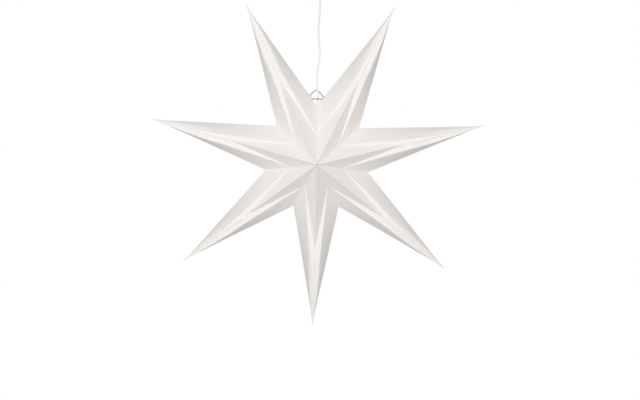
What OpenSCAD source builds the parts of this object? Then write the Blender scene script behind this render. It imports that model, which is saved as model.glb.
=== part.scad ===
// Seven-armed folded paper star with its wire closing ring, lamp holder, bulb, cord and ceiling cup.
// The ceiling plate's top face is at the origin, and the star hangs below it with its front to -Y.

/* [Star] */
// Number of arms
arms = 7; // [6:1:8]
// Distance from the star's middle to the tip of an arm
star_r = 300; // [280:5:340]
// Height of the middle point above the star's middle plane
apex_h = 70; // [62:1:78]
// Distance from the middle to the notch between two glued arms
notch_r = 93; // [88:1:98]
// Distance from the middle to the notch at the closing join
closing_notch_r = 96; // [92:1:99]
// Distance from the axis to the bend in the valley between two arms
valley_r = 46.5; // [43:0.5:50]
// Height of that bend
valley_h = 31.5; // [29:0.5:34]
// Distance along an arm to the point where its ridge ends and its groove begins
ridge_end_r = 159; // [150:1:168]
// Height of that point
ridge_end_h = 29; // [27:0.5:30]
// Distance along an arm to the knee, from which its front drops to the tip
knee_r = 185; // [178:1:192]
// Distance of the knee's two corners from the arm's middle line
knee_w = 9.2; // [8.6:0.2:9.8]
// Height of those corners
knee_h = 32; // [30:0.5:34]
// Height of the groove between them
groove_h = 29.5; // [28:0.5:30]
// How far short of the tip the sides of an arm would meet
taper_short = 8; // [6:0.5:12]
// Length of the flat glued end of an arm
flat_tip = 20; // [16:1:26]
// Width of the flat glued end
flat_tip_w = 1.6; // [1:0.1:2.4]
// Half the depth of the flat glued end where it starts
flat_tip_h = 2.2; // [1.6:0.1:2.8]
// Half the depth of the flat glued end at the tip
flat_tip_end_h = 0.9; // [0.5:0.1:1]
// Diameter of the small hole at the middle point
pinhole_d = 3; // [2.5:0.5:5]
// Lean of the closing join from the vertical, in degrees
closing_lean = 1.7; // [0:0.1:3]

/* [Paper] */
// Thickness of the paper
paper_t = 0.4; // [0.3:0.05:0.6]
// Width of the glue flanges inside the valleys
flange_w = 7; // [5:0.5:9]
// Thickness of the glue between two flanges
glue_t = 0.05; // [0.02:0.01:0.1]
// Gap between the two unglued flanges at the closing join
closing_gap = 0.3; // [0.1:0.1:0.6]

/* [Closing ring] */
// Diameter of the steel wire
wire_d = 2; // [1.6:0.1:2.4]
// Height of the ring's straight bar above the closing notch
ring_up = 11.5; // [10:0.5:14]
// Height of the ring's arch above its bar, between wire centres
ring_h = 15; // [13:0.5:17]
// How far the ring's corners reach in past the rims of the two arms
ring_bite = 3.5; // [3:0.5:5]
// How far the wire bows backwards at the peak and forwards at the bar
ring_bow = 1.7; // [1.6:0.1:2.2]
// Clearance of the punched holes round the wire
punch_gap = 0.4; // [0.2:0.1:0.6]

/* [Lamp holder] */
// Outer radius of the lamp holder
holder_r = 14; // [13:0.5:15]
// Outer radius of the cap's top round the cord
neck_r = 4; // [3.5:0.5:5]
// Wall of the cap and the body
holder_wall = 1.6; // [1.2:0.1:2]
// Length of the cap's straight skirt
skirt_l = 7; // [6:1:10]
// Length of the body below the skirt
body_l = 30; // [28:1:34]
// Height of the insert that carries the contacts
insert_h = 14; // [12:1:16]
// Length of the threaded sleeve
sleeve_l = 22; // [20:1:24]
// Radius of the bulb's screw base
base_r = 6.9; // [6.7:0.1:7]
// Length of the bulb's screw base
base_l = 23; // [22:1:25]
// Radius of the bulb's globe
globe_r = 22.5; // [20:0.5:24]
// Wall of the brass sleeve
sleeve_wall = 0.4; // [0.3:0.1:0.6]
// Thickness of the middle contact
contact_t = 0.6; // [0.4:0.1:0.8]

/* [Cord] */
// Diameter of the cord
cord_d = 3.2; // [2.8:0.1:3.4]
// Clearance round the cord where it passes through a hole
cord_gap = 0.3; // [0.2:0.1:0.5]
// Clearance round the cord in the closing join
cord_notch_gap = 0.8; // [0.6:0.1:1.2]

/* [Ceiling fitting] */
// Outer radius of the cup
cup_r = 40; // [36:1:46]
// Height of the cup
cup_h = 45; // [38:1:46]
// Wall of the cup
cup_wall = 2; // [1.5:0.25:2.5]
// Radius of the cup's lower outer edge
cup_round = 12; // [8:1:16]
// Thickness of the ceiling plate
plate_t = 3; // [2:0.5:4]
// Distance between the plate's two screw holes
screw_pitch = 48; // [40:1:52]
// Radius of the plate's screw holes
screw_hole_r = 2.1; // [1.8:0.1:2.6]
// Radius of the plate's wire hole
wire_hole_r = 5; // [4:0.5:6]
// Distance of the wire hole from the plate's middle
wire_hole_y = 20; // [17:1:24]
// Width of the terminal block
block_w = 16; // [14:1:20]
// Depth of the terminal block
block_d = 14; // [12:1:18]
// Radius of the cord grip's collar
collar_r = 8; // [7:0.5:10]
// Height of the cord grip's collar
collar_h = 10; // [8:1:10]
// Radius of the cord grip's threaded neck
grip_neck_r = 5; // [4.5:0.25:6]
// Height of the grip's nut
nut_h = 4; // [3:0.5:5]
// Distance across the flats of the grip's nut
nut_af = 14; // [13:0.5:17]

/* [Hidden] */
arm_nodes = [for (i = [1 : arms]) str("arm_", i)];
$fn = 64;

paper_white = [0.93, 0.92, 0.90];
plastic_white = [0.95, 0.95, 0.94];
steel_grey = [0.62, 0.62, 0.63];
brass_yellow = [0.80, 0.66, 0.34];
opal_white = [0.97, 0.97, 0.95];

// Small clearance between hard parts that fit into each other
fit_gap = 0.2;
// Clearance under a flat part that rests on another
rest_gap = 0.05;
// Overshoot of a cut past the face that it opens
past = 1;
// Distance from the ceiling to the star's middle, which the cord's length fixes
drop = 355;

// Arms

half_angle = 180 / arms;
// Distance along an arm where its two rims would meet
taper_r = star_r - taper_short;
// A point that lies inside every arm
inside_arm = [valley_r, 0, 0];

function unit(v) = v / norm(v);

// A plane through three corners, moved inwards: its inward normal and its distance from the axis
function plane(a, b, c, inset) =
    let (n = unit(cross(b - a, c - a)), m = n * (inside_arm - a) < 0 ? -n : n)
    [m, m * a + inset];

// The point where three planes meet
function meet(p, q, r) =
    (p[1] * cross(q[0], r[0]) + q[1] * cross(r[0], p[0]) + r[1] * cross(p[0], q[0]))
    / (p[0] * cross(q[0], r[0]));

mirror_plane = [[0, 0, 1], 0];
ridge_top = [0, 0, apex_h];
ridge_end = [ridge_end_r, 0, ridge_end_h];
groove = [knee_r, 0, groove_h];
taper_end = [taper_r, 0, 0];

// The planes of half an arm: inner panel, the bright strip's near, middle and far parts, the outer
// panel's near and far parts, and the side that meets the neighbour. turn is the side's angle from
// the arm's middle line, with a sign.
function half_planes(turn, notch, gap, inset) =
    let (
        s = sign(turn),
        bend = [valley_r * cos(turn), valley_r * sin(turn), valley_h],
        foot = [notch * cos(turn), notch * sin(turn), 0],
        knee = [knee_r, s * knee_w, knee_h]
    )
    [
        plane(ridge_top, bend, ridge_end, inset),
        plane(bend, ridge_end, groove, inset),
        plane(bend, groove, knee, inset),
        plane(knee, groove, taper_end, inset),
        plane(bend, foot, knee, inset),
        plane(knee, foot, taper_end, inset),
        [[s * sin(turn), -s * cos(turn), 0], gap / 2 + inset]
    ];

// The front corners of half an arm off its middle line: valley bend, knee and notch
function side_corners(p) =
    [meet(p[0], p[1], p[6]), meet(p[2], p[4], p[5]), meet(p[4], p[6], mirror_plane)];

// The seventeen corners of an arm's surface, moved inwards by inset: the ridge's top and end and the
// groove, then each side's bend and knee, all of them front and back, then the notches and the tip
function arm_corners(left, right, inset) =
    let (
        a = half_planes(left[0], left[1], left[2], inset),
        b = half_planes(-right[0], right[1], right[2], inset),
        side_a = side_corners(a),
        side_b = side_corners(b),
        front = [
            meet(a[6], b[6], a[0]), meet(a[0], b[0], a[1]), meet(a[3], b[3], a[2]),
            side_a[0], side_a[1], side_b[0], side_b[1]
        ]
    )
    concat(
        [for (p = front) each [p, [p[0], p[1], -p[2]]]],
        [side_a[2], side_b[2], meet(a[5], b[5], mirror_plane)]
    );

// The faces of an arm's front half on the side with the given bend, knee and notch
function front_faces(bend, knee, foot) = [
    [0, bend, 2], [bend, 4, 2], [bend, knee, 4], [knee, 16, 4], [bend, foot, knee], [knee, foot, 16]
];
// The same faces with the corners of the back
function at_back(faces) = [for (f = faces) [for (k = f) k < 14 ? k + 1 : k]];
function turned(faces) = [for (f = faces) [f[2], f[1], f[0]]];
front_a = front_faces(6, 8, 14);
front_b = turned(front_faces(10, 12, 15));
side_faces = [[6, 0, 1], [6, 1, 7], [6, 7, 14], [10, 1, 0], [10, 11, 1], [10, 15, 11]];
arm_faces = concat(front_a, turned(at_back(front_a)), front_b, turned(at_back(front_b)), side_faces);

// What an arm's left or right side meets: its angle, its notch and the gap to its neighbour
function left_side(i) = i == 1
    ? [half_angle + closing_lean, closing_notch_r, closing_gap]
    : [half_angle, notch_r, glue_t];
function right_side(i) = i == arms
    ? [half_angle - closing_lean, closing_notch_r, closing_gap]
    : [half_angle, notch_r, glue_t];

// The opening in a side wall that leaves the glue flange standing along the valley
module side_window(turn, side) {
    bends = [[0, apex_h], [valley_r, valley_h], [side[1], 0]];
    outline = concat(
        bends,
        [for (p = [bends[1], bends[0]]) [p[0], -p[1]]],
        [[-valley_r, -valley_h], [-side[1], 0], [-valley_r, valley_h]]
    );
    rotate([0, 0, turn]) rotate([90, 0, 0])
        linear_extrude(side[2] + 2 * paper_t + 2 * past, center = true)
            offset(delta = -flange_w) polygon(outline);
}

// The flat glued end, a blade that stands on the arm's middle line
module arm_tip() {
    start = star_r - flat_tip;
    rotate([90, 0, 0]) linear_extrude(flat_tip_w, center = true) polygon([
        [start, -flat_tip_h], [star_r, -flat_tip_end_h],
        [star_r, flat_tip_end_h], [start, flat_tip_h]
    ]);
}

// One hollow arm along +X with its front to +Z
module arm_shell(left, right) {
    difference() {
        polyhedron(arm_corners(left, right, 0), arm_faces);
        polyhedron(arm_corners(left, right, paper_t), arm_faces);
        side_window(left[0], left);
        side_window(-right[0], right);
        cylinder(d = pinhole_d, h = 2 * apex_h + 2 * past, center = true);
    }
    arm_tip();
}

// Stands the flat star up at its place below the ceiling, turned by an angle clockwise from the top
module in_star(azimuth) {
    translate([0, 0, -drop]) rotate([90, 0, 0]) rotate([0, 0, 90 - azimuth]) children();
}

module arm(i) {
    color(paper_white) difference() {
        in_star((2 * i - 1) * half_angle) arm_shell(left_side(i), right_side(i));
        if (i == 1 || i == arms) {
            wire_loop(wire_d + 2 * punch_gap);
            cord_notch();
        }
    }
}

// The hole that the two closing flanges leave for the cord, out to where the notch is wider than it
module cord_notch() {
    in_star(-closing_lean) rotate([0, 90, 0])
        cylinder(r = cord_d / 2 + cord_notch_gap, h = closing_notch_r + cord_d + past);
}

// Swept tubes

// The direction of a path at its point k
function tangent(path, k, closed) =
    let (last = len(path) - 1)
    closed
        ? unit(path[(k + 1) % (last + 1)] - path[(k + last) % (last + 1)])
        : unit(path[min(k + 1, last)] - path[max(k - 1, 0)]);

// One ring of points round a path's point
function tube_ring(path, k, radius, sides, closed) =
    let (
        t = tangent(path, k, closed),
        a = unit(cross(t, [0, 1, 0])),
        b = cross(t, a)
    )
    [for (j = [0 : sides - 1]) path[k] + radius * (cos(360 * j / sides) * a + sin(360 * j / sides) * b)];

module tube(path, radius, sides, closed) {
    count = len(path);
    points = [for (k = [0 : count - 1]) each tube_ring(path, k, radius, sides, closed)];
    walls = [
        for (k = [0 : closed ? count - 1 : count - 2], j = [0 : sides - 1])
        let (m = (k + 1) % count, n = (j + 1) % sides)
        [k * sides + j, m * sides + j, m * sides + n, k * sides + n]
    ];
    ends = closed ? [] : [
        [for (j = [0 : sides - 1]) j],
        [for (j = [sides - 1 : -1 : 0]) (count - 1) * sides + j]
    ];
    polyhedron(points, concat(walls, ends));
}

// Closing ring

// Where a rim crosses a height above the star's middle, for the arm on the left (-1) or right (1)
function rim_x(side, z) =
    let (
        foot = closing_notch_r * [-sin(closing_lean), cos(closing_lean)],
        end = taper_r * [side * sin(half_angle), cos(half_angle)]
    )
    foot[0] + (z - foot[1]) * (end[0] - foot[0]) / (end[1] - foot[1]);

bar_z = closing_notch_r * cos(closing_lean) + ring_up;
// Share of the ring's height at which its corners stick furthest into the arms
corner_share = 0.15;
corner_z = bar_z + corner_share * ring_h;
ring_left = rim_x(-1, corner_z) - ring_bite;
ring_right = rim_x(1, corner_z) + ring_bite;

// Half the ring's outline from its peak to the middle of its bar, as shares of its half width and height
half_ring = [
    [0, 1], [0.17, 0.96], [0.33, 0.83], [0.48, 0.63], [0.66, 0.42], [0.86, 0.30],
    [0.97, 0.23], [1, corner_share], [0.96, 0.05], [0.85, 0], [0.6, 0], [0.3, 0], [0, 0]
];
full_ring = concat(
    half_ring,
    [for (k = [len(half_ring) - 2 : -1 : 1]) [-half_ring[k][0], half_ring[k][1]]]
);
ring_path = [
    for (p = full_ring) [
        (ring_left + ring_right) / 2 + p[0] * (ring_right - ring_left) / 2,
        ring_bow * (1 - abs(p[0])) * (2 * p[1] - 1),
        bar_z + p[1] * ring_h - drop
    ]
];
wire_sides = 10;

module wire_loop(d) {
    tube(ring_path, d / 2, wire_sides, true);
}

module closing_ring() {
    color(steel_grey) wire_loop(wire_d);
}

// Lamp holder, hung under the closing flanges

closing_slope = atan(valley_h / (closing_notch_r - valley_r));
// Height at which the flanges' inner edges meet over the lamp holder
flange_foot = closing_notch_r - flange_w / sin(closing_slope);
// Height at which a round part of radius r just clears the flanges' inner edges
function seat_z(r) = flange_foot - r / tan(closing_slope) - fit_gap / sin(closing_slope);

neck_z = seat_z(neck_r);
shoulder_z = seat_z(holder_r);
skirt_z = shoulder_z - skirt_l;
body_z = skirt_z - body_l;
holder_x = -neck_z * tan(closing_lean);
cord_hole_r = cord_d / 2 + cord_gap;
spigot_r = holder_r - holder_wall - fit_gap;
// Radius of the body's bore round the contacts
bore_r = spigot_r - holder_wall;
insert_r = bore_r - fit_gap;
insert_top = shoulder_z - past;
insert_z = insert_top - insert_h;
sleeve_r = base_r + fit_gap + sleeve_wall;
// Depth of the pocket that holds the sleeve in the insert
pocket_h = insert_h / 2;
ledge_h = 2;
ledge_z = insert_z - rest_gap;

module at_holder(z) {
    translate([holder_x, 0, z - drop]) children();
}

// Cone with a cord hole, seated under the paper, and a skirt that the body pushes into
module holder_cap() {
    inner_r = holder_r - holder_wall;
    color(plastic_white) at_holder(0) difference() {
        union() {
            translate([0, 0, skirt_z]) cylinder(r = holder_r, h = skirt_l);
            translate([0, 0, shoulder_z])
                cylinder(r1 = holder_r, r2 = neck_r, h = neck_z - shoulder_z);
        }
        translate([0, 0, skirt_z - past]) cylinder(r = inner_r, h = skirt_l + past);
        translate([0, 0, shoulder_z])
            cylinder(r1 = inner_r, r2 = cord_hole_r, h = neck_z - shoulder_z - holder_wall);
        translate([0, 0, shoulder_z]) cylinder(r = cord_hole_r, h = neck_z);
    }
}

// Tube with a spigot on top and a ledge that carries the insert
module holder_body() {
    color(plastic_white) at_holder(0) difference() {
        union() {
            translate([0, 0, body_z]) cylinder(r = holder_r, h = body_l - fit_gap);
            translate([0, 0, body_z]) cylinder(r = spigot_r, h = insert_top - body_z);
        }
        translate([0, 0, ledge_z]) cylinder(r = bore_r, h = insert_h + past);
        translate([0, 0, body_z - past]) cylinder(r = bore_r, h = ledge_z - ledge_h - body_z + past);
        translate([0, 0, body_z]) cylinder(r = sleeve_r + fit_gap, h = ledge_z - body_z + past);
    }
}

// Ceramic core with a pocket for the sleeve and a middle hole for the contact's leg
module contact_insert() {
    color(opal_white) at_holder(insert_z) difference() {
        cylinder(r = insert_r, h = insert_h);
        translate([0, 0, -past]) cylinder(r = sleeve_r, h = pocket_h + past);
        cylinder(r = cord_hole_r, h = insert_h + past);
    }
}

sleeve_top = insert_z + pocket_h;

module thread_sleeve() {
    color(brass_yellow) at_holder(sleeve_top - sleeve_l) difference() {
        cylinder(r = sleeve_r, h = sleeve_l);
        translate([0, 0, -past]) cylinder(r = sleeve_r - sleeve_wall, h = sleeve_l + 2 * past);
    }
}

// Disc against the pocket's floor, with a leg up through the middle hole
module middle_contact() {
    color(brass_yellow) at_holder(sleeve_top) {
        translate([0, 0, -contact_t]) cylinder(r = base_r - past, h = contact_t);
        cylinder(r = cord_hole_r - fit_gap, h = insert_h - pocket_h);
    }
}

bulb_top = sleeve_top - contact_t - rest_gap;
tip_r = 3;
tip_h = 1.5;
neck_fillet = 6;
globe_z = bulb_top - base_l - globe_r - neck_fillet;
// How far the glass stands out past the screw base where it leaves it
glass_lip = 0.6;
glass_neck_r = base_r + glass_lip;
// Step of the globe's profile, in degrees
globe_step = 5;

// Sealed lamp: contact tip, screw base, glass neck and globe, turned as one profile
module bulb() {
    meet_angle = asin(glass_neck_r / globe_r);
    color(opal_white) at_holder(0) rotate_extrude() polygon(concat(
        [[0, bulb_top], [tip_r, bulb_top], [base_r, bulb_top - tip_h], [base_r, bulb_top - base_l]],
        [[glass_neck_r, bulb_top - base_l]],
        [for (t = [meet_angle : globe_step : 180]) globe_z * [0, 1] + globe_r * [sin(t), cos(t)]],
        [[0, globe_z - globe_r]]
    ));
}

// Cord

// The cord's middle line from the terminal block down to the lamp holder
cord_route = [
    [0, 0, -19], [0, 0, -28], [0, 0, -37], [0, 0, -46], [0, 0, -56],
    [-0.8, 0, -63], [-1.7, 0, -71], [-1.7, 0, -80], [-1.5, 0, -89], [-1.4, 0, -98],
    [-2, 0, -107], [-3.2, 0, -116], [-3.1, 0, -125], [-2.5, 0, -134], [-2.1, 0, -143],
    [-1.2, 0, -152], [0, 0, -161], [0.2, 0, -170], [-0.4, 0, -178], [-1.5, 0, -186],
    [-2.6, 0, -195], [-3.1, 0, -204], [-3.1, 0, -213], [-2.8, -0.5, -221], [-2.2, -1.3, -228],
    [-1.6, -1.3, -234], [-0.9, 0, -241], [-0.9, 1.4, -248], [-2.3, 0.5, -254], [-2.6, 0.1, -260],
    [-2.7, 0, -266], [-2.4, 0, -273], [-2.3, 0, -279], [-2.3, 0, -285]
];
cord_sides = 8;

module cord() {
    color(plastic_white) tube(cord_route, cord_d / 2, cord_sides, false);
}

// Ceiling fitting

inner_cup_r = cup_r - cup_wall;
cup_floor = cup_wall - cup_h;
plate_r = inner_cup_r - fit_gap;
block_h = -cord_route[0][2] - plate_t;

// Half of the cup's outline in section, closed through the axis
module cup_section(r, bottom, round_r) {
    hull() {
        translate([0, bottom]) square([r - round_r, round_r]);
        translate([r - round_r, bottom + round_r]) intersection() {
            circle(round_r);
            translate([0, -round_r]) square(round_r);
        }
        translate([0, bottom + round_r]) square([r, -bottom - round_r]);
    }
}

// Moulded cup, open to the ceiling
module ceiling_cup() {
    color(plastic_white) difference() {
        rotate_extrude() cup_section(cup_r, -cup_h, cup_round);
        rotate_extrude() cup_section(inner_cup_r, cup_floor, cup_round - cup_wall);
        translate([0, 0, -past]) cylinder(r = inner_cup_r, h = 2 * past);
        translate([0, 0, -cup_h - past]) cylinder(r = grip_neck_r + fit_gap, h = cup_wall + 2 * past);
    }
}

// Disc screwed to the ceiling, which the cup pushes over
module ceiling_plate() {
    color(steel_grey) translate([0, 0, -plate_t]) difference() {
        cylinder(r = plate_r, h = plate_t);
        for (s = [-1, 1])
            translate([s * screw_pitch / 2, 0, -past]) cylinder(r = screw_hole_r, h = plate_t + 2 * past);
        translate([0, wire_hole_y, -past]) cylinder(r = wire_hole_r, h = plate_t + 2 * past);
    }
}

screw_r = 1.4;
screw_l = 5;
// Height of the terminal screws above the block's lower face
screw_z = -plate_t - block_h / 2;

// The four places of the clamp screws, on the block's front and back
module at_screws() {
    for (x = [-block_w / 4, block_w / 4], s = [-1, 1])
        translate([x, s * block_d / 2, screw_z]) rotate([90 * s, 0, 0]) children();
}

// Block on the plate's underside with four screw wells
module terminal_block() {
    color(plastic_white) difference() {
        translate([-block_w / 2, -block_d / 2, -plate_t - block_h]) cube([block_w, block_d, block_h]);
        at_screws() translate([0, 0, -past]) cylinder(r = screw_r + fit_gap, h = screw_l + past);
    }
}

// Slotted clamp screws, one in each well
module terminal_screws() {
    slot_w = 0.5;
    slot_h = 0.8;
    color(brass_yellow) at_screws() difference() {
        cylinder(r = screw_r, h = screw_l);
        translate([-screw_r - past, -slot_w / 2, -past]) cube([2 * (screw_r + past), slot_w, slot_h + past]);
    }
}

// Collar below the cup, with a threaded neck that goes up through the cup's floor
module cord_grip() {
    color(plastic_white) difference() {
        union() {
            translate([0, 0, -cup_h - collar_h]) cylinder(r = collar_r, h = collar_h);
            translate([0, 0, -cup_h - past]) cylinder(r = grip_neck_r, h = cup_wall + nut_h + 2 * past);
        }
        translate([0, 0, -cup_h - collar_h - past])
            cylinder(r = cord_hole_r, h = collar_h + cup_wall + nut_h + 4 * past);
    }
}

module grip_nut() {
    color(plastic_white) translate([0, 0, cup_floor]) difference() {
        cylinder(d = nut_af / cos(30), h = nut_h, $fn = 6);
        translate([0, 0, -past]) cylinder(r = grip_neck_r + fit_gap, h = nut_h + 2 * past);
    }
}

for (i = [1 : arms])
    arm(i);
closing_ring();
holder_cap();
holder_body();
contact_insert();
thread_sleeve();
middle_contact();
bulb();
cord();
cord_grip();
grip_nut();
ceiling_cup();
ceiling_plate();
terminal_block();
terminal_screws();
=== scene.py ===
"""Looks of the seven-armed folded paper star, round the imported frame.

Lengths in this file are millimetres until a mesh is made. An arm is worked out lying along +X with its
front to +Z and the star's middle at zero, and then stood up at its place below the ceiling.
"""
import math

import bpy
import numpy as np
from mathutils import Matrix, Vector


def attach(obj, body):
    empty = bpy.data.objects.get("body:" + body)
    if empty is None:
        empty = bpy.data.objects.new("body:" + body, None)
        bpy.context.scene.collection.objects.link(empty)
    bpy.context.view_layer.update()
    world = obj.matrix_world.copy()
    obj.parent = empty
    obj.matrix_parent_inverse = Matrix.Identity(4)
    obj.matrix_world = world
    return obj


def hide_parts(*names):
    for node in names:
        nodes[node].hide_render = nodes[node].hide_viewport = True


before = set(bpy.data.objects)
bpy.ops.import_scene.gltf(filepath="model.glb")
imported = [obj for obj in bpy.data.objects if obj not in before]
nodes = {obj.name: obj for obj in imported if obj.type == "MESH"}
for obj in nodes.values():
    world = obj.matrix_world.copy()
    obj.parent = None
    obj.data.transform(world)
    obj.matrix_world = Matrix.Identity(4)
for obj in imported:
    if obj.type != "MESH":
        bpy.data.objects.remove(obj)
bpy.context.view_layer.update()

MM = 0.001
DROP = 355.0                                    # from the ceiling down to the star's middle
STAR_MIDDLE = Vector((0, 0, -DROP * MM))


# Camera

def make_camera():
    """The photograph's view: from the front and 7.5 degrees above, turned 1.4 degrees, with the star's
    middle above and left of the picture's middle."""
    tilt, turn, distance = math.radians(7.454), math.radians(1.368), 2.4
    focal_px, width_px, height_px = 1355.8, 640, 400
    middle_px = (316.589, 159.079)
    right = Vector((1, 0, 0))
    up = Vector((0, math.sin(tilt), math.cos(tilt)))
    back = Vector((0, -math.cos(tilt), math.sin(tilt)))
    data = bpy.data.cameras.new("camera")
    data.sensor_width = 36
    data.lens = focal_px / width_px * 36
    data.shift_x = ((width_px - 1) / 2 - middle_px[0]) / width_px
    data.shift_y = -((height_px - 1) / 2 - middle_px[1]) / width_px
    data.clip_start, data.clip_end = 0.05, 100
    camera = bpy.data.objects.new("camera", data)
    bpy.context.scene.collection.objects.link(camera)
    place = Matrix((right * math.cos(turn) + up * math.sin(turn),
                    up * math.cos(turn) - right * math.sin(turn), back)).transposed().to_4x4()
    place.translation = STAR_MIDDLE + back * distance
    camera.matrix_world = place
    bpy.context.scene.camera = camera


make_camera()


# Shapes

def unit(v):
    return v / np.linalg.norm(v, axis=-1, keepdims=True)


def lerp(a, b, t):
    return a + (b - a) * np.asarray(t)[..., None]


def smooth_line(points, steps, closed=False):
    """A curve through all the points. Between two of them it is the cubic whose slope at each point is
    half the chord between that point's neighbours. It has steps parts between two points."""
    p = np.array(points, float)
    if closed:
        a, b, c, d = np.roll(p, 1, 0), p, np.roll(p, -1, 0), np.roll(p, -2, 0)
    else:
        wide = np.vstack([2 * p[0] - p[1], p, 2 * p[-1] - p[-2]])
        a, b, c, d = wide[:-3], wide[1:-2], wide[2:-1], wide[3:]
    t = (np.arange(steps) / steps)[None, :, None]
    a, b, c, d = a[:, None], b[:, None], c[:, None], d[:, None]
    line = 0.5 * (2 * b + (c - a) * t + (2 * a - 5 * b + 4 * c - d) * t**2 + (3 * b - a - 3 * c + d) * t**3)
    line = line.reshape(-1, p.shape[1])
    return line if closed else np.vstack([line, p[-1]])


def grid_quads(rows, cols, base=0):
    """The faces of a grid of points, counted row by row, with the normal row direction times column
    direction."""
    i = np.arange(rows - 1)[:, None] * cols + np.arange(cols - 1)[None] + base
    return np.stack([i, i + cols, i + cols + 1, i + 1], -1).reshape(-1, 4)


def tube(line, radius, sides, closed=False):
    """Rings of points round a line: the line's point plus radius times the cosine and sine of two
    directions square to the line. Open ends are closed with a fan round the line's end point."""
    p = np.array(line, float)
    ahead = np.roll(p, -1, 0) - np.roll(p, 1, 0)
    if not closed:
        ahead[0], ahead[-1] = p[1] - p[0], p[-1] - p[-2]
    t = unit(ahead)
    a = unit(np.cross(t, [0, 1.0, 0]))
    b = np.cross(t, a)
    turn = np.arange(sides) * 2 * np.pi / sides
    rings = p[:, None] + radius * (np.cos(turn)[None, :, None] * a[:, None]
                                   + np.sin(turn)[None, :, None] * b[:, None])
    count = len(p)
    k = np.arange(count if closed else count - 1)[:, None]
    j = np.arange(sides)[None]
    m, n = (k + 1) % count, (j + 1) % sides
    faces = np.stack([k * sides + j, m * sides + j, m * sides + n, k * sides + n], -1)
    faces = faces.reshape(-1, 4).tolist()
    points = rings.reshape(-1, 3)
    if not closed:
        q, base = np.arange(sides), (count - 1) * sides
        first, last = np.full(sides, len(points)), np.full(sides, len(points) + 1)
        points = np.vstack([points, p[0], p[-1]])
        faces += np.stack([first, q, (q + 1) % sides], -1).tolist()
        faces += np.stack([last, base + (q + 1) % sides, base + q], -1).tolist()
    return points, faces


def add_mesh(name, points, faces, crease_deg=None):
    """A mesh object at the origin from points in millimetres. Edges that fold more than crease_deg
    stay sharp."""
    mesh = bpy.data.meshes.new(name)
    mesh.from_pydata((np.asarray(points) * MM).tolist(), [], faces)
    mesh.shade_smooth()
    if crease_deg is not None:
        mesh.set_sharp_from_angle(angle=math.radians(crease_deg))
    piece = bpy.data.objects.new(name, mesh)
    bpy.context.scene.collection.objects.link(piece)
    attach(piece, "root")
    return piece


# Cord

CORD_ROUTE = [
    (0, 0, -19), (0, 0, -28), (0, 0, -37), (0, 0, -46), (0, 0, -56),
    (-0.8, 0, -63), (-1.7, 0, -71), (-1.7, 0, -80), (-1.5, 0, -89), (-1.4, 0, -98),
    (-2, 0, -107), (-3.2, 0, -116), (-3.1, 0, -125), (-2.5, 0, -134), (-2.1, 0, -143),
    (-1.2, 0, -152), (0, 0, -161), (0.2, 0, -170), (-0.4, 0, -178), (-1.5, 0, -186),
    (-2.6, 0, -195), (-3.1, 0, -204), (-3.1, 0, -213), (-2.8, -0.5, -221), (-2.2, -1.3, -228),
    (-1.6, -1.3, -234), (-0.9, 0, -241), (-0.9, 1.4, -248), (-2.3, 0.5, -254), (-2.6, 0.1, -260),
    (-2.7, 0, -266), (-2.4, 0, -273), (-2.3, 0, -279), (-2.3, 0, -285),
]
CORD_D = 3.2

cord_line = smooth_line(CORD_ROUTE, 4)
cord = add_mesh("hanging_cord", *tube(cord_line, CORD_D / 2, 20))
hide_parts("cord")
(cord_line * MM).tolist()


# Paper arms

ARMS = 7
HALF_ANGLE = 180 / ARMS
STAR_R, APEX_H = 300.0, 70.0
NOTCH_R, CLOSING_NOTCH_R = 93.0, 96.0
VALLEY_R, VALLEY_H = 46.5, 31.5
PAPER_T, FLANGE_W, GLUE_T, CLOSING_GAP = 0.4, 7.0, 0.05, 0.08
PINHOLE_R = 0.9
CLOSING_LEAN = 1.7
FOLD_R, FOLD_SHARE = 0.6, 0.12                  # half a fold's rounded width, in mm and at most as a share
CREASE_DEG = 34                                 # edges that fold more than this stay sharp

# From the ridge's end outwards: the groove in the middle of the front
MIDDLE_LINE = [(159, 0, 29.5), (171, 0, 29.8), (184, 0, 28.6), (198, 0, 26.0), (222, 0, 20.3),
               (246, 0, 13.4), (270, 0, 6.6), (287, 0, 2.7), (300, 0, 0.9)]
# The outer edge of the bright strip on the left, after the valley bend where it starts
EDGE_LINE = [(75, 17.3, 32.2), (108, 14.7, 32.5), (144, 11.8, 32.4), (165, 10.3, 31.9), (184, 9.4, 30.2),
             (198, 8.8, 27.6), (222, 7.3, 21.4), (246, 5.5, 14.1), (270, 3.1, 7.0), (287, 1.4, 2.8),
             (300, 0.4, 0.9)]
# The end of the left rim, which is straight from its notch to the first of these points
RIM_LINE = [(262, 5.9, 0), (272, 4, 0), (282, 2.5, 0), (291, 1.5, 0), (300, 0.7, 0)]
# How far the tip of each arm is bent to its left in the photograph, and where on the arm the bend starts
TIP_BEND = [1.7, 0.6, -4.4, -1.2, 0.6, 1.7, 0.2]
BEND_START, BEND_POWER = 0.3, 1.5
# The paper's thickness at distances from the middle, thinner where it is pressed at the tip
THICKNESS_AT, THICKNESS = [255, 285, 300], [PAPER_T, 0.28, 0.2]
TIP_CAP = 0.2
# How far the outer panels bow, as shares of their width, along the panel
BOW_AT, BOW = [0, 0.12, 0.5, 0.8, 1], [0, 0.022, 0.04, 0.07, 0.03]
OUTER_RIPPLE, INNER_RIPPLE, INNER_SPAN = 0.16, 0.12, 0.49
PANELS = ("strip", "outer", "inner", "flange")
# Rows along an arm, columns across its panels and points along a ray of its inner panels
ROWS = np.concatenate([np.linspace(0, 0.04, 5)[:-1], np.linspace(0.04, 1, 73)])
RAYS = np.linspace(0, 1, 33)
STRIP_STEPS, OUTER_STEPS, FLANGE_STEPS = 6, 12, 4
FAR = 100.0                                     # stands for no crease nearby


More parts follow.
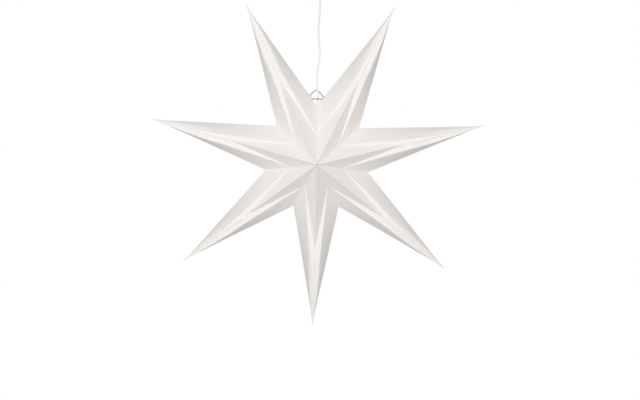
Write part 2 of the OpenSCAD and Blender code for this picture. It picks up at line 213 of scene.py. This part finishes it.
def along(line, x0, s):
    """The points of a line at the shares s of the way from its x0 to its last x."""
    fine = smooth_line(line, 16)
    x = x0 + (line[-1][0] - x0) * s
    return np.stack([x] + [np.interp(x, fine[:, 0], fine[:, k]) for k in (1, 2)], -1)


def fold_columns(width, inner):
    """Shares across a panel whose two long sides are folds, one row for each width: 0, the fold's
    rounding, as much again, then inner equal steps, and the same at the other side."""
    r = np.minimum(FOLD_R, FOLD_SHARE * width)[:, None] / width[:, None]
    core = 2 * r + (1 - 4 * r) * np.linspace(0, 1, inner + 1)[None]
    zero = np.zeros_like(r)
    return np.hstack([zero, r, core, 1 - r, zero + 1])


def soften(left, right):
    """Rounds the fold between two grids. Their shared column, the last of the left and the first of the
    right, moves to half itself and a quarter of each neighbour."""
    mid = 0.5 * left[:, -1] + 0.25 * (left[:, -2] + right[:, 1])
    left[:, -1] = right[:, 0] = mid


def bulge(grid, shares, across, height):
    """Bends a panel outwards: adds height times 4 w (1 - w) along the normal that across makes with the
    arm's axis."""
    n = np.cross([1.0, 0, 0], across)
    n = unit(n * np.sign(n[:, 2:3]))
    return grid + (n * height[:, None])[:, None] * (4 * shares * (1 - shares))[..., None]


def ripple(grid, shares, s, amount, seed):
    """Unevenness of hand-folded paper: the sum of four waves across and along the panel, fading out at
    its borders, added to the height."""
    rng = np.random.default_rng(seed)
    total = np.zeros(grid.shape[:2])
    for k in range(4):
        fx, fw = rng.uniform(4, 13), rng.uniform(-2.5, 2.5)
        total += np.sin(2 * np.pi * (fx * s[:, None] + fw * shares + rng.uniform())) * rng.uniform(0.4, 1)
    fade = np.sin(np.pi * shares) * np.clip(np.minimum(8 * s, 3 * (1 - s)), 0, 1)[:, None]
    grid[..., 2] += amount * total * fade
    return grid


def half_front(side, turn, notch, gap, seed):
    """The front of half an arm as grids: strip, outer panel, inner panel and glue flange. side is 1 on
    the left and -1 on the right, turn the angle from the arm's middle line to the valley.

    Each grid lies straight between two lines: the strip between the middle line and the edge line, the
    outer panel between the edge line and the rim, the inner panel between the pinhole's rim and the
    strip's base, and the flange between the valley and its free edge."""
    r = np.radians(turn)
    lean = np.array([np.cos(r), side * np.sin(r), 0])
    clear = (gap / 2) * np.array([np.sin(r), -side * np.cos(r), 0])
    flip = np.array([1.0, side, 1.0])
    bend = VALLEY_R * lean + [0, 0, VALLEY_H] + clear
    foot = notch * lean + clear
    top = np.array([gap / 2 / np.sin(r), 0, APEX_H])
    s = ROWS

    middle = along(MIDDLE_LINE, MIDDLE_LINE[0][0], s)
    edge = along([tuple(bend * flip)] + EDGE_LINE, bend[0], s) * flip
    x = foot[0] + (RIM_LINE[-1][0] - foot[0]) * s
    fine, (end_x, end_y) = smooth_line(RIM_LINE, 16), RIM_LINE[0][:2]
    y = np.where(x < end_x, np.interp(x, [foot[0], end_x], [abs(foot[1]), end_y]),
                 np.interp(x, fine[:, 0], fine[:, 1]))
    rim = np.stack([x, side * y, 0 * x], -1)

    slant = np.linalg.norm(rim - edge, axis=1)
    v = fold_columns(np.linalg.norm(edge - middle, axis=1), STRIP_STEPS)
    w = fold_columns(slant, OUTER_STEPS)
    strip = middle[:, None] + (edge - middle)[:, None] * v[..., None]
    outer = edge[:, None] + (rim - edge)[:, None] * w[..., None]
    outer = bulge(outer, w, rim - edge, slant * np.interp(s, BOW_AT, BOW))
    outer = ripple(outer, w, s, OUTER_RIPPLE, seed)

    base = strip[0]
    ray = base - top
    start = PINHOLE_R / np.linalg.norm(ray[:, :2], axis=1)
    share = start[None] + (1 - start[None]) * RAYS[:, None]
    inner = top + ray[None] * share[..., None]
    inner = ripple(inner, np.broadcast_to(v[:1], share.shape), INNER_SPAN * RAYS, INNER_RIPPLE, seed + 50)
    inner[-1] = base

    first = bend - top
    begin = PINHOLE_R / np.linalg.norm(first[:2])
    line = np.vstack([top + first * (begin + (1 - begin) * RAYS)[:, None], outer[0, 1:]])
    v_share = np.concatenate([RAYS, w[0, 1:]])
    free = flange_edge(notch)
    free = lean * free[:, :1] + np.array([0, 0, 1.0]) * free[:, 1:] + clear
    corner = len(RAYS)
    rest = np.vstack([lerp(free[0], free[1], v_share[:corner]), lerp(free[1], free[2], v_share[corner:])])
    flange = line[:, None] + (rest - line)[:, None] * np.linspace(0, 1, FLANGE_STEPS + 1)[None, :, None]
    return {"strip": strip, "outer": outer, "inner": inner, "flange": flange}, v, w


def flange_edge(notch):
    """Start, bend and end of a flange's free edge as distances from the axis and heights. It runs beside
    the valley, from the top over the bend to the notch, at the flange's width."""
    top, bend, foot = np.array([[0, APEX_H], [VALLEY_R, VALLEY_H], [notch, 0]])
    d1, d2 = unit(bend - top), unit(foot - bend)
    n1, n2 = np.array([d1[1], -d1[0]]), np.array([d2[1], -d2[0]])
    corner = bend + FLANGE_W * (n1 + n2) / (1 + n1 @ n2)
    start = top + FLANGE_W * n1
    start = start + d1 * (PINHOLE_R - start[0]) / d1[0]
    end = foot + FLANGE_W * n2
    return np.array([start, corner, end - d2 * end[1] / d2[1]])


def weld(points, quads, tolerance=1e-5):
    """Points that lie together become one, and a face that loses a corner becomes a triangle."""
    key = np.round(points / tolerance).astype(np.int64)
    _, first, back = np.unique(key, axis=0, return_index=True, return_inverse=True)
    quads = back.ravel()[quads]
    kept = quads != np.roll(quads, -1, axis=1)
    four = quads[kept.all(1)]
    three = kept.sum(1) == 3
    return first, four, quads[three][kept[three]].reshape(-1, 3)


def inward(points, faces):
    """For each point, the direction into the paper that keeps the sheet's thickness: minus the mean of
    its faces' normals, divided by the cosine between that mean and them. A face's normal is the cross
    product of its diagonals, and a triangle's is the same product with its last point used twice."""
    total, spread, count = np.zeros_like(points), np.zeros(len(points)), np.zeros(len(points))
    normals = [unit(np.cross(points[f[:, 2]] - points[f[:, 0]], points[f[:, -1]] - points[f[:, 1]]) + 1e-12)
               for f in faces]
    corners = [(f[:, k], n) for f, n in zip(faces, normals) for k in range(f.shape[1])]
    for at, n in corners:
        np.add.at(total, at, n)
    mean = unit(total + 1e-12)
    for at, n in corners:
        np.add.at(spread, at, (mean[at] * n).sum(1))
        np.add.at(count, at, 1)
    return -mean / np.clip(spread / np.maximum(count, 1), 0.6, 1)[:, None]


def open_edges(faces):
    """The edges that only one face uses, in that face's direction."""
    pairs = np.concatenate([np.stack([f, np.roll(f, -1, axis=1)], -1).reshape(-1, 2) for f in faces])
    big = pairs.max() + 1
    code, reverse = pairs[:, 0] * big + pairs[:, 1], pairs[:, 1] * big + pairs[:, 0]
    return pairs[~np.isin(reverse, code)]


def in_star(points, azimuth):
    """Stands points of an arm up at its azimuth, in degrees clockwise from the top, below the ceiling."""
    a = np.radians(90 - azimuth)
    x, y, z = points.T
    return np.stack([x * np.cos(a) - y * np.sin(a), -z, x * np.sin(a) + y * np.cos(a) - DROP], -1)


def creases(grids, v, w):
    """For each point of the grids, its distance from the rim, from the edge line and from the ridge or
    the valley, which the paper's material reads. A distance that doesn't count is FAR."""
    out = []
    for name in PANELS:
        g = grids[name]
        d = np.full(g.shape, FAR)
        width = np.linalg.norm(g[:, -1] - g[:, 0], axis=1)[:, None]
        if name == "strip":
            d[..., 1], d[..., 2] = (1 - v) * width, v * width
        elif name == "outer":
            d[..., 0], d[..., 1] = (1 - w) * width, w * width
        elif name == "inner":
            d[..., 2] = np.linalg.norm(g - g[:, :1], axis=-1)
        out.append(d)
    return out


def join_panels(halves):
    """Rounds the folds between the panels, and makes their shared borders the same."""
    a, b = halves[1], halves[-1]
    for name in ("strip", "inner"):
        mid = 0.5 * a[name][:, 0] + 0.25 * (a[name][:, 1] + b[name][:, 1])
        a[name][:, 0] = b[name][:, 0] = mid
    rows = len(RAYS)
    for h in (a, b):
        outer, flange = h["outer"], h["flange"]
        h["inner"][-1] = h["strip"][0]
        flange[:rows, 0] = h["inner"][:, -1]
        flange[rows:, 0] = outer[0, 1:]
        outer[:, -1, :2] = 0.5 * outer[:, -1, :2] + 0.5 * outer[:, -2, :2]
        flange[-1, 0] = outer[0, -1]
        flange[-1, :, 2] = 0


def outside_layer(halves, marks):
    """Front and back of an arm as one layer of welded points with their crease distances, quads and
    triangles. A fan round one more point closes its tip."""
    points, tags, quads, base = [], [], [], 0
    for back in (1, -1):
        for side in (1, -1):
            for name, mark in zip(PANELS, marks[side]):
                g = halves[side][name] * np.array([1, 1, back])
                q = grid_quads(*g.shape[:2], base)
                quads.append(q if side * back > 0 else q[:, ::-1])
                points.append(g.reshape(-1, 3))
                tags.append(mark.reshape(-1, 3))
                base += len(points[-1])
    points, tags = np.vstack(points), np.vstack(tags)
    first, four, three = weld(points, np.concatenate(quads))
    points, tags = points[first], tags[first]
    tip = open_edges([four, three])
    tip = tip[(points[tip, 0] > STAR_R - 1e-3).all(1)]
    cap = np.stack([tip[:, 1], tip[:, 0], np.full(len(tip), len(points))], -1)
    points = np.vstack([points, [STAR_R + TIP_CAP, 0, 0]])
    tags = np.vstack([tags, [0, FAR, FAR]])
    return points, tags, four, np.vstack([three, cap])


def make_arm(i):
    """One arm as a closed sheet of paper: an outer layer, an inner layer that lies the paper's thickness
    inside it, and walls along the open edges between them."""
    shut = (HALF_ANGLE, NOTCH_R, GLUE_T)
    left = (HALF_ANGLE + CLOSING_LEAN, CLOSING_NOTCH_R, CLOSING_GAP) if i == 1 else shut
    right = (HALF_ANGLE - CLOSING_LEAN, CLOSING_NOTCH_R, CLOSING_GAP) if i == ARMS else shut
    halves, marks = {}, {}
    for side, meets in ((1, left), (-1, right)):
        halves[side], v, w = half_front(side, *meets, 100 * i + 10 * side)
        marks[side] = creases(halves[side], v, w)
        soften(halves[side]["strip"], halves[side]["outer"])
    join_panels(halves)
    points, tags, four, three = outside_layer(halves, marks)
    n, faces = len(points), [four, three]
    thick = np.interp(points[:, 0], THICKNESS_AT, THICKNESS)
    rims = open_edges(faces)
    walls = np.stack([rims[:, 1], rims[:, 0], rims[:, 0] + n, rims[:, 1] + n], -1)
    every = [np.vstack([four, four[:, ::-1] + n, walls]), np.vstack([three, three[:, ::-1] + n])]
    points = np.vstack([points, points + inward(points, faces) * thick[:, None]])
    out = np.clip((points[:, 0] / STAR_R - BEND_START) / (1 - BEND_START), 0, 1)
    points[:, 1] += TIP_BEND[i - 1] * out ** BEND_POWER
    arm = add_mesh(f"paper_arm_{i}", in_star(points, (2 * i - 1) * HALF_ANGLE),
                   every[0].tolist() + every[1].tolist(), CREASE_DEG)
    mark = arm.data.attributes.new("creases", "FLOAT_VECTOR", "POINT")
    mark.data.foreach_set("vector", np.vstack([tags, tags]).astype(np.float32).ravel())
    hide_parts(f"arm_{i}")
    return arm


# Closing ring

WIRE_D, RING_BOW = 2.0, 1.7
BAR_Z, PEAK_Z = 107.5, 122.6
RING_MIDDLE, RING_HALF = -2.6, 13.9
# The ring from its left foot over the peak to the right foot and back along the bar: to the right of the
# star's middle and above it
RING_LINE = [(-14.9, 112.9), (-12.9, 116.0), (-10.8, 118.2), (-8.2, 120.5), (-5.6, 122.1), (-3.1, 122.6),
             (-0.5, 121.3), (2.2, 118.6), (4.6, 115.8), (6.4, 113.6), (7.8, 111.7), (8.7, 110.2),
             (8.9, 108.8), (8.1, 107.8), (6.6, 107.5), (0.0, 107.5), (-7.0, 107.5), (-13.2, 107.5),
             (-15.1, 108.3), (-15.9, 110.2)]


def ring_line():
    """The ring's middle line, which bows backwards at the peak and forwards at the bar: the bow times
    1 - |x| and 2 z - 1, with x and z as shares of the half width and height."""
    x, z = np.array(RING_LINE).T
    lean = (1 - np.abs(x - RING_MIDDLE) / RING_HALF) * (2 * (z - BAR_Z) / (PEAK_Z - BAR_Z) - 1)
    return smooth_line(np.stack([x, RING_BOW * lean, z - DROP], -1), 5, closed=True)


ring = add_mesh("closing_wire", *tube(ring_line(), WIRE_D / 2, 16, closed=True))
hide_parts("closing_ring")


def read_vectors(data, name):
    """The vectors of a mesh's points or of an attribute, one row each."""
    flat = np.empty(len(data) * 3, np.float32)
    data.foreach_get(name, flat)
    return flat.reshape(-1, 3)


def cut(piece, cutter, radius, sides, closed=False):
    """Takes a tube round a line out of a piece. The points that stay keep their crease distances, and the
    new ones are far from any crease."""
    tool = add_mesh("cutter", *tube(cutter, radius, sides, closed))
    change = piece.modifiers.new("cut", "BOOLEAN")
    change.solver, change.object = "EXACT", tool
    bpy.context.view_layer.update()
    mesh = bpy.data.meshes.new_from_object(piece.evaluated_get(bpy.context.evaluated_depsgraph_get()))
    before, after = read_vectors(piece.data.vertices, "co"), read_vectors(mesh.vertices, "co")
    marks = read_vectors(piece.data.attributes["creases"].data, "vector")
    _, first, back = np.unique(np.vstack([before, after]), axis=0, return_index=True, return_inverse=True)
    source = first[back.ravel()[len(before):]]
    stays = (source < len(before))[:, None]
    marks = np.where(stays, marks[np.minimum(source, len(before) - 1)], FAR).astype(np.float32)
    mesh.attributes["creases"].data.foreach_set("vector", marks.ravel())
    piece.modifiers.clear()
    piece.data = mesh
    bpy.data.objects.remove(tool)


arms = [make_arm(i) for i in range(1, ARMS + 1)]

# The holes punched for the wire, and the hole that the closing flanges leave for the cord
PUNCH_GAP, CORD_NOTCH_GAP = 0.4, 0.8
cord_way = in_star(np.array([[60.0, 0, 0], [CLOSING_NOTCH_R + CORD_D + 1, 0, 0]]), -CLOSING_LEAN)
for arm in (arms[0], arms[-1]):
    cut(arm, ring_line(), WIRE_D / 2 + PUNCH_GAP, 16, closed=True)
    cut(arm, cord_way, CORD_D / 2 + CORD_NOTCH_GAP, 32)
    arm.data.set_sharp_from_angle(angle=math.radians(CREASE_DEG))


# Finishes

WHITE = (1, 1, 1, 1)


class Value:
    """A socket in a shader graph. Arithmetic on values adds Math nodes."""

    def __init__(self, graph, socket):
        self.graph, self.socket = graph, socket

    def _math(self, operation, *values):
        return self.graph.node("ShaderNodeMath", {"operation": operation}, list(values))

    def __add__(self, other):
        return self._math("ADD", self, other)

    def __sub__(self, other):
        return self._math("SUBTRACT", self, other)

    def __mul__(self, other):
        return self._math("MULTIPLY", self, other)

    def __rsub__(self, other):
        return self._math("SUBTRACT", other, self)

    __radd__, __rmul__ = __add__, __mul__

    def ramp(self, low, high, to_low=0.0, to_high=1.0):
        """Runs smoothly from to_low at low to to_high at high."""
        return self.graph.node("ShaderNodeMapRange", {"interpolation_type": "SMOOTHSTEP", "clamp": True},
                               {"Value": self, "From Min": low, "From Max": high,
                                "To Min": to_low, "To Max": to_high})


class Graph:
    """A node tree. Nodes are added with their settings and the values or links of their sockets."""

    def __init__(self, tree):
        self.tree = tree

    def node(self, kind, settings=None, inputs=None, out=0):
        """Adds a node of a type, with its settings and then the values or links of its sockets."""
        made = self.tree.nodes.new(kind)
        for key, value in (settings or {}).items():
            setattr(made, key, value)
        pairs = enumerate(inputs) if isinstance(inputs, list) else (inputs or {}).items()
        for key, value in pairs:
            self.feed(made.inputs[key], value)
        return Value(self, made.outputs[out])

    def feed(self, socket, value):
        if isinstance(value, Value):
            self.tree.links.new(value.socket, socket)
        else:
            socket.default_value = value

    def outputs(self, value, *keys):
        """Other outputs of the node that a value comes from."""
        return [Value(self, value.socket.node.outputs[key]) for key in keys]

    def seen(self):
        """1 for rays from the camera, a reflection or a transmission, and 0 for those that carry light."""
        camera = self.node("ShaderNodeLightPath", out="Is Camera Ray")
        glossy, passed = self.outputs(camera, "Is Glossy Ray", "Is Transmission Ray")
        return (camera + glossy + passed).ramp(0, 1)


class Finish(Graph):
    """A material with a Principled surface, whose changing values are written as expressions."""

    def __init__(self, name, color, roughness, **constants):
        self.material = bpy.data.materials.new(name)
        self.material.use_nodes = True
        super().__init__(self.material.node_tree)
        self.surface = self.tree.nodes["Principled BSDF"]
        self.color = (*color, 1)
        self.surface.inputs["Base Color"].default_value = self.color
        self.surface.inputs["Roughness"].default_value = roughness
        for key, value in constants.items():
            self.surface.inputs[key.replace("_", " ")].default_value = value
        self.place = self.node("ShaderNodeTexCoord", out="Object")

    def noise(self, scale, detail=2.0, roughness=0.5, at=None):
        return self.node("ShaderNodeTexNoise", None, {"Vector": at or self.place, "Scale": scale,
                                                      "Detail": detail, "Roughness": roughness})

    def split(self, vector):
        """The three parts of a vector."""
        x = self.node("ShaderNodeSeparateXYZ", None, [vector])
        return [x] + self.outputs(x, 1, 2)

    def stretched(self, scales):
        return self.node("ShaderNodeMapping", None, {"Vector": self.place, "Scale": scales})

    def blend(self, share, a, b):
        return self.node("ShaderNodeMix", {"data_type": "RGBA"}, {0: share, 6: a, 7: b}, out=2)

    def shade(self, brightness, color=None):
        """The colour times a brightness that changes over the surface."""
        grey = self.node("ShaderNodeCombineXYZ", None, [brightness, brightness, brightness])
        start = color or tuple(self.color[:3])
        return self.node("ShaderNodeVectorMath", {"operation": "MULTIPLY"}, [start, grey])

    def set(self, **values):
        for key, value in values.items():
            self.feed(self.surface.inputs[key.replace("_", " ")], value)
        return self

    def bump(self, height, strength, distance):
        return self.set(Normal=self.node("ShaderNodeBump", None, {"Strength": strength, "Distance": distance,
                                                                  "Height": height}))


def paper_finish():
    """White uncoated card: fine fibres and cloudy formation, with painted shade along the ridge and groove
    folds, a painted highlight along the strip's edge fold and painted shade along the rim.
    """
    paper = Finish("white_card", (0.874, 0.843, 0.812), 0.82, Specular_IOR_Level=0.25)
    fibre = paper.noise(900, 4, 0.7)
    speck = paper.noise(2600, 1)
    cloud = paper.noise(45, 3)
    wide = paper.noise(9, 2)
    marks = paper.node("ShaderNodeAttribute", {"attribute_name": "creases"}, out="Vector")
    rim, edge, ridge = paper.split(marks)
    uneven = paper.noise(160, 2)
    # Painted shade: the colour is darker within about a millimetre of the ridge and the groove.
    fold_shade = ridge.ramp(0.25, 1.1, 1, 0) * uneven.ramp(0.3, 0.7, 0.5, 1)
    # Painted highlight: the colour is lighter along the fold between the strip and the outer panel.
    edge_highlight = edge.ramp(0.2, 0.9, 1, 0)
    # Painted shade: the colour is darker within a millimetre of the rim.
    rim_shade = rim.ramp(0.2, 1.0, 1, 0)
    tone = 0.965 + 0.025 * cloud + 0.03 * fibre + 0.012 * wide
    # The painted shade at the folds and the rim and the painted highlight at the edge fold go into the
    # colour here.
    tone = tone - 0.07 * fold_shade + 0.01 * edge_highlight - 0.14 * rim_shade
    warm = paper.blend(cloud.ramp(0.35, 0.7), (0.872, 0.845, 0.816, 1), (0.877, 0.841, 0.807, 1))
    paper.set(Base_Color=paper.shade(tone, warm), Roughness=0.76 + 0.12 * fibre)
    return paper.bump(fibre * 0.6 + speck * 0.25 + cloud * 0.8, 0.35, 0.0003).material


def plastic_finish(name, color, roughness, scale=500):
    """Moulded plastic with a faint grain and slightly uneven gloss."""
    plastic = Finish(name, color, roughness, Specular_IOR_Level=0.5)
    grain = plastic.noise(scale, 3)
    patch = plastic.noise(30, 2)
    plastic.set(Base_Color=plastic.shade(0.985 + 0.02 * patch), Roughness=roughness - 0.04 + 0.1 * patch)
    return plastic.bump(grain, 0.12, 0.0002).material


def metal_finish(name, color, roughness, scales, tarnish=0.12):
    """Drawn or turned metal: fine lines along one direction and darker, duller patches."""
    metal = Finish(name, color, roughness, Metallic=1.0)
    lines = metal.noise(1, 2, at=metal.stretched(scales))
    patch = metal.noise(120, 3)
    dull = patch.ramp(0.45, 0.75)
    metal.set(Base_Color=metal.shade(1.0 - tarnish * dull),
              Roughness=roughness + 0.12 * dull + 0.06 * lines)
    return metal.bump(lines, 0.1, 0.0001).material


def glass_finish():
    """Opal glass of an unlit bulb: milky white, smooth, with a faint cloud."""
    glass = Finish("milk_glass", (0.93, 0.92, 0.88), 0.16, Coat_Weight=0.3)
    cloud = glass.noise(60, 2)
    return glass.set(Base_Color=glass.shade(0.975 + 0.03 * cloud), Roughness=0.13 + 0.06 * cloud).material


white_card = paper_finish()
wire_steel = metal_finish("bright_steel_wire", (0.27, 0.27, 0.265), 0.36, (400, 400, 4000))
brass = metal_finish("drawn_brass", (0.78, 0.62, 0.32), 0.3, (2500, 2500, 300), 0.2)
white_plastic = plastic_finish("white_moulding", (0.86, 0.86, 0.84), 0.32)
plate_plastic = plastic_finish("grey_plastic", (0.72, 0.72, 0.71), 0.45)
sheath = plastic_finish("sheath_plastic", (0.82, 0.82, 0.80), 0.42, 1200)
ceramic = plastic_finish("glazed_ceramic", (0.85, 0.83, 0.78), 0.2, 200)
opal = glass_finish()

for arm in arms:
    arm.data.materials.append(white_card)
ring.data.materials.append(wire_steel)
cord.data.materials.append(sheath)
NODE_FINISHES = {
    "holder_cap": white_plastic, "holder_body": white_plastic, "cord_grip": white_plastic,
    "grip_nut": white_plastic, "ceiling_cup": white_plastic, "terminal_block": white_plastic,
    "ceiling_plate": plate_plastic, "contact_insert": ceramic, "thread_sleeve": brass,
    "middle_contact": brass, "terminal_screws": brass, "bulb": opal,
}
for name, finish in NODE_FINISHES.items():
    nodes[name].data.materials.clear()
    nodes[name].data.materials.append(finish)


# Floor, backdrop and light

def make_studio():
    """A pale sheet that runs over the floor and up behind the star: a straight floor, a quarter circle
    and a straight wall, carried across from side to side. What is seen of it is white, and below the
    star a little of its shading is left, so that the floor keeps the shadow."""
    floor_z, wall_y, front_y, bend_r, top_z, half_w = -1.6, 5.0, -5.5, 1.2, 4.0, 6.0
    turn = np.linspace(0, np.pi / 2, 25)
    profile = np.vstack([
        [[front_y, floor_z]],
        np.stack([wall_y - bend_r + bend_r * np.sin(turn), floor_z + bend_r - bend_r * np.cos(turn)], -1),
        [[wall_y, top_z]]])
    x = np.linspace(-half_w, half_w, 13)[:, None]
    grid = np.stack(np.broadcast_arrays(x, profile[:, 0], profile[:, 1]), -1)
    mesh = bpy.data.meshes.new("studio_sheet")
    mesh.from_pydata(grid.reshape(-1, 3).tolist(), [], grid_quads(*grid.shape[:2]).tolist())
    mesh.shade_smooth()
    sheet = bpy.data.objects.new("studio_sheet", mesh)
    bpy.context.scene.collection.objects.link(sheet)
    back = Finish("backdrop_white", (0.5, 0.5, 0.5), 0.9, Specular_IOR_Level=0.0)
    glow = back.node("ShaderNodeEmission", None, {"Color": WHITE, "Strength": 1.0})
    x, y, _ = back.split(back.place)
    white = (x * x + y * y).ramp(1.0, 4.0, 0.88, 1.0)
    mix = back.node("ShaderNodeMixShader", None,
                    [white * back.seen(), Value(back, back.surface.outputs[0]), glow])
    back.feed(back.tree.nodes["Material Output"].inputs["Surface"], mix)
    mesh.materials.append(back.material)


def make_world(strength):
    """Even light of one strength, which the camera and reflections see as white."""
    world = bpy.data.worlds.new("studio")
    bpy.context.scene.world = world
    world.use_nodes = True
    graph = Graph(world.node_tree)
    graph.tree.nodes.clear()
    light, white = (graph.node("ShaderNodeBackground", None, {"Color": WHITE, "Strength": value})
                    for value in (strength, 1.0))
    mix = graph.node("ShaderNodeMixShader", None, [graph.seen(), light, white])
    graph.feed(graph.tree.nodes.new("ShaderNodeOutputWorld").inputs["Surface"], mix)


def make_lamp(name, azimuth, elevation, distance, size, brightness):
    """A round soft lamp aimed at the star. Azimuth 0 is in front and 90 to the right. A white card that
    faces the lamp is lit to brightness."""
    data = bpy.data.lights.new(name, "AREA")
    data.shape = "DISK"
    data.size = size
    data.energy = brightness * (math.pi * distance) ** 2
    lamp = bpy.data.objects.new(name, data)
    bpy.context.scene.collection.objects.link(lamp)
    a, e = math.radians(azimuth), math.radians(elevation)
    away = Vector((math.sin(a) * math.cos(e), -math.cos(a) * math.cos(e), math.sin(e)))
    lamp.location = STAR_MIDDLE + away * distance
    lamp.rotation_euler = away.to_track_quat("Z", "Y").to_euler()
    lamp.visible_camera = False


make_studio()
make_world(0.65)
make_lamp("front_fill", 0, 3, 2.8, 3.2, 0.33)
make_lamp("key", -12, 12, 4.0, 1.6, 0.22)
make_lamp("back_fill", 180, 8, 4.0, 1.6, 0.45)

bpy.context.scene.view_settings.view_transform = "Standard"
